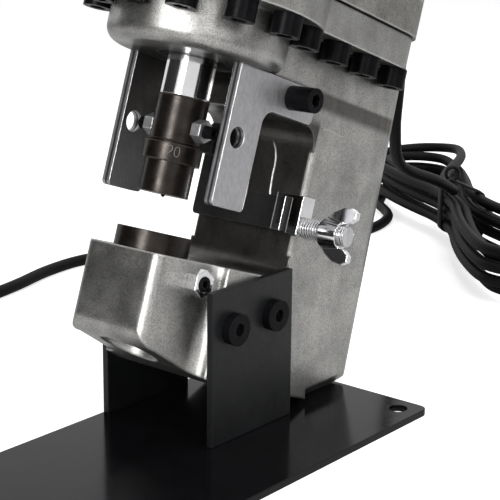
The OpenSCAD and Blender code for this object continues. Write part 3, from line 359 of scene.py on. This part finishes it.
UPRIGHT_LOOK = soft_plastic("upright_paint_look", (0.006, 0.0063, 0.007), (0.010, 0.0105, 0.0115),
                            (0.36, 0.50), 700, 0.08, gloss=0.25)
# The stop bar is painted near black as painted shade for the dark throat round it; its edges are painted a
# little lighter as painted highlight
STOP_LOOK = soft_plastic("stop_bar_look", (0.006, 0.006, 0.0065), (0.014, 0.0135, 0.013),
                         (0.34, 0.48), 700, 0.08, gloss=0.35, edge_tone=(0.06, 0.055, 0.05))
LOCK_NUT_LOOK = plain_metal("lock_nut_look", (0.52, 0.52, 0.53), (0.66, 0.66, 0.67),
                            (0.30, 0.42), 0.9, 500)
NODE_LOOKS = {"upright_left": UPRIGHT_LOOK, "upright_right": UPRIGHT_LOOK, "stop_bar": STOP_LOOK,
              "punch_lock_nuts": LOCK_NUT_LOOK}
for entry in frame["record"]["subparts"]:
    obj = nodes[entry["node"]]
    obj.data.materials.clear()
    obj.data.materials.append(NODE_LOOKS.get(entry["node"]) or LOOKS[entry["material_slot"]])

# Cord: one length from the strain relief through the hank to the plug

CORD_R = 3.25
# Height of the cord's middle where it lies on the ground
LIE_Z = CORD_R + 0.15
HANK_C = (-92, 362)
HANK_YAW = math.radians(-42)
HANK_HALF = 115
HANK_IN = 20.6
HANK_STEP = 8.2
HANK_DRAW = 16
HANK_WAIST = 58
HANK_TURNS = 5
# Share of a turn that one straight run takes
RUN_SHARE = 7 / 24
HANK_OUT = HANK_IN + HANK_STEP
# Points of the path in one loop
LOOP_STEPS = 24
HANK_START_V = -11
# The strain relief leaves the handle at 45 degrees
SLANT = math.cos(math.radians(45))
RELIEF_START = Vector((0, 78, 306))
RELIEF_L = 44
RELIEF_WAY = Vector((0, SLANT, -SLANT))
RELIEF_END = RELIEF_START + RELIEF_L * RELIEF_WAY
TIE_HALF = 4
TIE_T = 1.2
RING_R = 4
RING_WIRE = 1.2
# How deep the ring sits in the strap
RING_SINK = 0.6
PLUG_X = -216
PLUG_Y = 5
PLUG_Z = 10.5


def hank_point(u, v, z):
    c, s = math.cos(HANK_YAW), math.sin(HANK_YAW)
    return Vector((HANK_C[0] + u * c - v * s, HANK_C[1] + u * s + v * c, z))


def layer(k):
    return 1.6 + CORD_R + HANK_STEP * (k - 1)


def loop_w(t):
    s = 0 if t < 0 else t % 3
    if s < 1:
        return HANK_OUT - HANK_STEP * s
    if s < 1.5:
        return HANK_IN
    if s < 2.5:
        return HANK_IN + HANK_STEP * (s - 1.5)
    return HANK_OUT


def loop_z(t):
    def part(x):
        return min(1, max(0, x))

    return layer(4) + HANK_STEP * (part(-t / (0.5 - RUN_SHARE)) - part(2 * (t - 1)) - part(2 * (t - 2.5))
                                   - part(2 * (t - 4)))


def loop_point(t):
    f = t - math.floor(t)
    half = f if f < 0.5 else f - 0.5
    way = 1 if f < 0.5 else -1
    w = loop_w(t)
    if half < RUN_SHARE:
        u = HANK_HALF * (2 * half / RUN_SHARE - 1)
        drawn = w - HANK_DRAW * math.exp(-(u / HANK_WAIST) ** 2)
        return hank_point(way * u, -way * drawn, loop_z(t))
    a = (half - RUN_SHARE) / (0.5 - RUN_SHARE) * math.pi
    return hank_point(way * (HANK_HALF + w * math.sin(a)), -way * w * math.cos(a), loop_z(t))


def smooth_path(points, steps):
    """Points on a smooth line through the given ones."""
    out = []
    last = len(points) - 1
    for i in range(last):
        a, b = points[max(i - 1, 0)], points[i]
        c, d = points[i + 1], points[min(i + 2, last)]
        for k in range(steps):
            t = k / steps
            out.append(0.5 * (2 * b + (c - a) * t + (2 * a - 5 * b + 4 * c - d) * t ** 2
                              + (3 * b - a - 3 * c + d) * t ** 3))
    out.append(points[last])
    return out


def cord_route():
    def relief(d):
        return machine(*(RELIEF_END + d * RELIEF_WAY)) / MM

    hank = []
    for i in range(6):
        s = i / 6
        v = HANK_START_V + (HANK_OUT - HANK_START_V) * (3 - 2 * s) * s * s
        hank.append(hank_point(-HANK_HALF * s, v, layer(5)))
    for i in range(5):
        hank.append(loop_point((RUN_SHARE - 0.5) * (1 - i / 5)))
    for i in range(HANK_TURNS * LOOP_STEPS + 1):
        hank.append(loop_point(min(i / LOOP_STEPS, HANK_TURNS - 0.0001)))
    way_in = (hank[1] - hank[0]).normalized()
    way_out = (hank[-1] - hank[-2]).normalized()
    hanging = ((-30, 209, 222), (-36, 211, 187), (-43, 211, 152), (-49, 217, 119), (-60, 232, 92),
               (-73, 259, 68))
    drop = [relief(0), relief(8), relief(22)] + [Vector(p) for p in hanging]
    drop += [hank_point(50, -33, layer(5) + 14), hank[0] - 20 * way_in + Vector((0, 0, 1.5)),
             hank[0] - 8 * way_in]
    lying = ((-170, 305), (-186, 272), (-204, 238), (-222, 203), (-233, 168), (-231, 137), (-223, 108),
             (-218, 82))
    rising = ((58, 4.5), (38, 8.4), (24, PLUG_Z), (13, PLUG_Z), (PLUG_Y, PLUG_Z))
    tail = [hank[-1] + 8 * way_out, hank[-1] + 22 * way_out, hank_point(-62, -33, 4.2),
            hank_point(-38, -46, LIE_Z), hank_point(-22, -66, LIE_Z)]
    tail += [Vector((x, y, LIE_Z)) for x, y in lying]
    tail += [Vector((PLUG_X, y, z)) for y, z in rising]
    return smooth_path(drop + hank + tail, 4)


def hank_place(point):
    """Along, across and above the hank's middle, in millimetres."""
    c, s = math.cos(HANK_YAW), math.sin(HANK_YAW)
    x, y = point.x - HANK_C[0], point.y - HANK_C[1]
    return x * c + y * s, y * c - x * s, point.z


def make_tie(route):
    """A rubber strap drawn tight round the hank's waist, with its pull ring on top."""
    waist = [hank_place(p) for p in route]
    waist = [Vector((v, z)) for u, v, z in waist if abs(u) < TIE_HALF + 1 and abs(v) < HANK_IN]
    rim = [(-TIE_HALF, 0.0), (-0.8 * TIE_HALF, TIE_T), (0.8 * TIE_HALF, TIE_T), (TIE_HALF, 0.0)]
    bm = bmesh.new()
    loops = []
    top = None
    for k in range(72):
        way = Vector((math.cos(math.radians(5 * k)), math.sin(math.radians(5 * k))))
        held = max(waist, key=way.dot)
        loop = []
        for along, out in rim:
            v, z = held + (CORD_R + 0.1 + out) * way
            loop.append(bm.verts.new(hank_point(along, v, z) * MM))
        loops.append(loop)
        if k == 14:
            top = held + (CORD_R + TIE_T) * way
    for low, high in zip(loops, loops[1:] + loops[:1]):
        for i in range(len(rim)):
            j = (i + 1) % len(rim)
            bm.faces.new((low[i], low[j], high[j], high[i]))
    bmesh.ops.recalc_face_normals(bm, faces=bm.faces)
    strap = mesh_piece("tie_strap", bm, LOOKS["rubber"], "frame")
    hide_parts("cord_tie")
    ring = []
    for k in range(24):
        a = math.radians(15 * k)
        v = top.x + RING_R * math.cos(a)
        z = top.y + RING_R - RING_SINK + RING_R * math.sin(a)
        ring.append(hank_point(0, v, z) * MM)
    ring = line_piece("tie_ring", ring, RING_WIRE * MM, LOOKS["rubber"], "frame", True)
    return [strap, ring]


def make_cord():
    route = cord_route()
    points = [p * MM for p in route]
    obj = line_piece("cord", points, CORD_R * MM, CORD_LOOK, "frame", sides=14)
    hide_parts("cord_drop", "cord_hank", "cord_tail")
    make_tie(route) + [nodes["plug"]]


CORD_LOOK = soft_plastic("cord_look", (0.0018, 0.0018, 0.002), (0.0045, 0.0045, 0.005),
                         (0.48, 0.60), 1500, 0.1, gloss=0.1)
make_cord()

# Details on the ram and its tooling

NUT_Z = 43
NUT_R = 10.3
NUT_TOP_RING_Z = 61.6


def ram_point(angle, radius, z):
    """A point round the ram, angle in degrees from the front toward +X."""
    a = math.radians(angle)
    return machine(radius * math.sin(a), -radius * math.cos(a), z)


def make_size_mark():
    """The punch's size, 20, struck into its collar in thin strokes."""
    radius = 11.82
    facing = 43
    high = 4.0
    wide = 2.1
    foot = 37.9
    two = [(-0.5, 0.80), (-0.38, 0.95), (0, 1.0), (0.38, 0.95), (0.5, 0.78), (0.42, 0.58), (-0.5, 0.0),
           (0.5, 0.0)]
    angles = [math.radians(a) for a in range(0, 360, 20)]
    zero = [(0.5 * math.sin(a), 0.5 + 0.5 * math.cos(a)) for a in angles]
    for name, shift, points, closed in (("mark_two", -1.5, two, False), ("mark_zero", 1.5, zero, True)):
        places = []
        for x, y in points:
            angle = facing + math.degrees((shift + x * wide) / radius)
            places.append(ram_point(angle, radius, foot + y * high))
        obj = line_piece(name, places, 0.18 * MM, MARK_LOOK, "ram", closed)


def make_nut_rings():
    """The rolled foot and the top edge of the coupling nut."""
    for name, z, r, wire in (("nut_foot_ring", NUT_Z + 0.9, NUT_R + 0.05, 0.45),
                             ("nut_top_ring", NUT_TOP_RING_Z, NUT_R - 0.1, 0.3)):
        places = [ram_point(a, r, z) for a in range(0, 360, 6)]
        obj = line_piece(name, places, wire * MM, LOOKS["black_oxide"], "ram", True)


def make_return_spring():
    """The spring under the piston, built as a fixed coil; the real spring shortens as the ram goes down.
    """
    foot = 86
    head = 130
    radius = 18.15
    wire = 2
    turns = 5
    gap = 0.3
    low = foot + wire + gap
    high = head - wire - gap
    steps = turns * 24
    places = []
    for i in range(steps + 1):
        share = i / steps
        places.append(ram_point(360 * turns * share, radius, low + (high - low) * share))
    obj = line_piece("return_coil", places, wire * MM, LOOKS["steel"], "frame")
    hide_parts("return_spring")
    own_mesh(obj)


MARK_LOOK = plain_metal("struck_mark_look", (0.13, 0.12, 0.105), (0.25, 0.23, 0.205),
                        (0.4, 0.55), 0.4, 900)
make_size_mark()
make_nut_rings()
make_return_spring()

# Work stop's thread

STUD_Y = 51.2
STUD_Z = 22.5
STUD_R = 4.0
THREAD_PITCH = 1.25


def make_thread():
    for name, x0, x1 in (("stud_thread", 34.2, 44.7), ("stud_end_thread", 53.2, 55.8)):
        places = []
        turns = (x1 - x0) / THREAD_PITCH
        steps = int(turns * 20)
        for i in range(steps + 1):
            a = 2 * math.pi * turns * i / steps
            x = x0 + (x1 - x0) * i / steps
            places.append(machine(x, STUD_Y + STUD_R * math.cos(a), STUD_Z + STUD_R * math.sin(a)))
        obj = line_piece(name, places, 0.42 * MM, LOOKS["steel"], "stop", sides=6)


make_thread()

# Flash lines of the casting

# Where the beads lie on the throat's wall and on the column's side
THROAT_WALL = 54.85
COLUMN_SIDE = 27.4


def make_flash():
    ridge = [(5.7, 56.8), (6.6, 55.0), (7.9, 52.7), (8.8, 49.5), (9.2, 46.4), (9.1, 43.2), (9.3, 39.9),
             (9.6, 36.2), (10.2, 32.7), (11.1, 29.8), (12.2, 27.4)]
    places = [machine(x, THROAT_WALL, z) for x, z in ridge]
    obj = line_piece("parting_ridge", places, 0.45 * MM, FLASH_LOOK, "frame")
    edge = [machine(COLUMN_SIDE, 57 + 3 * k, 64.6 + 0.5 * math.sin(k)) for k in range(7)]
    obj = line_piece("panel_edge", edge, 0.5 * MM, LOOKS["cast_steel"], "frame")


FLASH_LOOK = plain_metal("flash_look", (0.45, 0.44, 0.42), (0.75, 0.74, 0.71), (0.25, 0.4), 0.9, 900)
make_flash()

# Motor and handle

MOTOR_Y = 30
MOTOR_R = 34
RIB_FOOT_Z = 206
HANDLE_HALF = 14
RIDGE_FOOT_Z = 335.5
RIDGE_STEP = 5


def add_rib(bm, place, length, width, height):
    """A rounded rib; place turns (along, across, up) in millimetres into a point in the row frame."""
    half = width / 2
    # The foot sinks a little into the surface that carries the rib
    sink = -0.3
    section = ((-half, sink), (-0.85 * half, 0.7 * height), (-0.45 * half, height), (0.45 * half, height),
               (0.85 * half, 0.7 * height), (half, sink))
    stations = ((0, 0.0), (0.6 * half, 0.7), (1.4 * half, 1.0), (length - 1.4 * half, 1.0),
                (length - 0.6 * half, 0.7), (length, 0.0))
    loops = []
    for along, share in stations:
        loop = []
        for across, up in section:
            rise = up * share if up > 0 else up
            loop.append(bm.verts.new(place(along, across, rise)))
        loops.append(loop)
    for low, high in zip(loops, loops[1:]):
        for k in range(len(section) - 1):
            bm.faces.new((low[k], low[k + 1], high[k + 1], high[k]))
        bm.faces.new((low[-1], low[0], high[0], high[-1]))
    bm.faces.new(loops[0])
    bm.faces.new(loops[-1])


def make_motor_ribs():
    """Cooling ribs of the motor housing, between its air slots and the brush caps."""
    bm = bmesh.new()
    for angle in range(10, 370, 20):
        c, s = math.cos(math.radians(angle)), math.sin(math.radians(angle))

        def place(along, across, up):
            reach = MOTOR_R + up
            return machine(reach * c - across * s, MOTOR_Y + reach * s + across * c, RIB_FOOT_Z + along)

        add_rib(bm, place, 42, 3.0, 1.5)
    bmesh.ops.recalc_face_normals(bm, faces=bm.faces)
    mesh_piece("motor_ribs", bm, LOOKS["cast_alloy"], "frame")


def make_grip_ridges():
    """Finger ridges moulded on both sides of the grip bar."""
    for name, side in (("grip_ridges_right", 1), ("grip_ridges_left", -1)):
        bm = bmesh.new()
        for k in range(10):
            def place(along, across, up):
                y = 4 + RIDGE_STEP * k + across
                return machine(side * (HANDLE_HALF + up), y, RIDGE_FOOT_Z + along)

            add_rib(bm, place, 13, 2.4, 0.9)
        bmesh.ops.recalc_face_normals(bm, faces=bm.faces)
        mesh_piece(name, bm, LOOKS["rubber"], "frame")


def round_edges(node, width):
    """Edges of a piece broken with a small round."""
    obj = nodes[node]
    weld = obj.modifiers.new("weld", "WELD")
    weld.merge_threshold = 0.00001
    flat = obj.modifiers.new("flat", "DECIMATE")
    flat.decimate_type = "DISSOLVE"
    flat.angle_limit = math.radians(1)
    bevel = obj.modifiers.new("round", "BEVEL")
    bevel.limit_method = "ANGLE"
    bevel.angle_limit = math.radians(40)
    bevel.width = width * MM
    bevel.segments = 2


make_motor_ribs()
make_grip_ridges()
for node, width in (("handle_left", 1.4), ("handle_right", 1.4), ("plug", 1.2), ("base_plate", 0.5),
                    ("upright_left", 0.4), ("upright_right", 0.4)):
    round_edges(node, width)

# Camera at the photograph's viewing angle

AZIMUTH = math.radians(39.33)
ELEVATION = math.radians(14.84)
ROLL = math.radians(0.58)
CAMERA_PLACE = (0.3546, -0.3950, 0.2243)
# Focal length and frame width in the photograph's pixels
FOCAL = 1420
FRAME = 500
SENSOR = 36


def make_camera():
    forward = Vector((-math.sin(AZIMUTH) * math.cos(ELEVATION), math.cos(AZIMUTH) * math.cos(ELEVATION),
                      -math.sin(ELEVATION)))
    right = Vector((math.cos(AZIMUTH), math.sin(AZIMUTH), 0))
    up = right.cross(forward)
    c, s = math.cos(ROLL), math.sin(ROLL)
    right, up = right * c + up * s, up * c - right * s
    data = bpy.data.cameras.new("camera")
    data.sensor_width = SENSOR
    data.lens = FOCAL * SENSOR / FRAME
    data.clip_start = 0.01
    obj = link(bpy.data.objects.new("camera", data))
    turn = Matrix((right, up, -forward)).transposed()
    obj.matrix_world = Matrix.Translation(CAMERA_PLACE) @ turn.to_4x4()
    scene.camera = obj


make_camera()

# Floor, dark cards and light


def make_floor():
    bm = bmesh.new()
    bmesh.ops.create_grid(bm, x_segments=1, y_segments=1, size=30)
    s = Shader("floor_look")
    s.colour(s.ramp(s.noise(3, 2), [(0.3, (0.86, 0.86, 0.86)), (0.7, (0.88, 0.88, 0.88))]))
    s.bsdf.inputs["Roughness"].default_value = 0.9
    s.bsdf.inputs["Specular IOR Level"].default_value = 0.1
    path = s.tree.nodes.new("ShaderNodeLightPath")
    lift = s.tree.nodes.new("ShaderNodeMath")
    lift.operation = "MULTIPLY"
    lift.inputs[1].default_value = 0.7
    s.join(path.outputs["Is Camera Ray"], lift.inputs[0])
    s.bsdf.inputs["Emission Color"].default_value = (1, 1, 1, 1)
    s.join(lift.outputs[0], s.bsdf.inputs["Emission Strength"])
    obj = mesh_piece("floor", bm, s.mat, None)


def make_card(name, angle, distance, width, low, high):
    """A dark card beside the object for contrast in bright metal; the camera doesn't see it."""
    bm = bmesh.new()
    a = math.radians(angle)
    middle = Vector((MACH_X * MM + distance * math.cos(a), distance * math.sin(a), 0))
    side = Vector((-math.sin(a), math.cos(a), 0)) * width / 2
    corners = [middle - side + Vector((0, 0, low)), middle + side + Vector((0, 0, low)),
               middle + side + Vector((0, 0, high)), middle - side + Vector((0, 0, high))]
    bm.faces.new([bm.verts.new(p) for p in corners])
    s = Shader(name + "_look")
    s.colour(s.ramp(s.noise(20, 2), [(0.3, (0.018, 0.018, 0.018)), (0.7, (0.022, 0.022, 0.022))]))
    s.bsdf.inputs["Roughness"].default_value = 0.9
    obj = mesh_piece(name, bm, s.mat, None)
    obj.visible_camera = False
    obj.visible_shadow = False


def make_world():
    world = bpy.data.worlds.new("studio")
    scene.world = world
    world.use_nodes = True
    tree = world.node_tree
    back = tree.nodes["Background"]
    back.inputs["Color"].default_value = (1, 1, 1, 1)
    path = tree.nodes.new("ShaderNodeLightPath")
    seen = tree.nodes.new("ShaderNodeMath")
    seen.operation = "MAXIMUM"
    tree.links.new(path.outputs["Is Camera Ray"], seen.inputs[0])
    tree.links.new(path.outputs["Is Glossy Ray"], seen.inputs[1])
    any_seen = tree.nodes.new("ShaderNodeMath")
    any_seen.operation = "MAXIMUM"
    tree.links.new(seen.outputs[0], any_seen.inputs[0])
    tree.links.new(path.outputs["Is Transmission Ray"], any_seen.inputs[1])
    level = tree.nodes.new("ShaderNodeMapRange")
    level.inputs["To Min"].default_value = 0.25
    level.inputs["To Max"].default_value = 1.0
    tree.links.new(any_seen.outputs[0], level.inputs["Value"])
    tree.links.new(level.outputs["Result"], back.inputs["Strength"])


def lamp(name, place, aim, size, power):
    data = bpy.data.lights.new(name, "AREA")
    data.shape = "DISK"
    data.size = size
    data.energy = power
    obj = link(bpy.data.objects.new(name, data))
    obj.location = place
    obj.rotation_euler = (Vector(aim) - Vector(place)).to_track_quat("-Z", "Y").to_euler()


make_floor()
make_world()
make_card("card_left", -135, 0.55, 0.75, 0.02, 0.62)
make_card("card_right", 8, 0.60, 0.30, 0.02, 0.50)
lamp("key", (0.20, -0.98, 0.52), (0, 0.03, 0.14), 0.40, 9)
lamp("fill", (1.0, -0.1, 0.75), (0, 0.05, 0.12), 0.6, 6)
lamp("top", (0.0, 0.35, 1.3), (0, 0.1, 0.1), 0.8, 6)
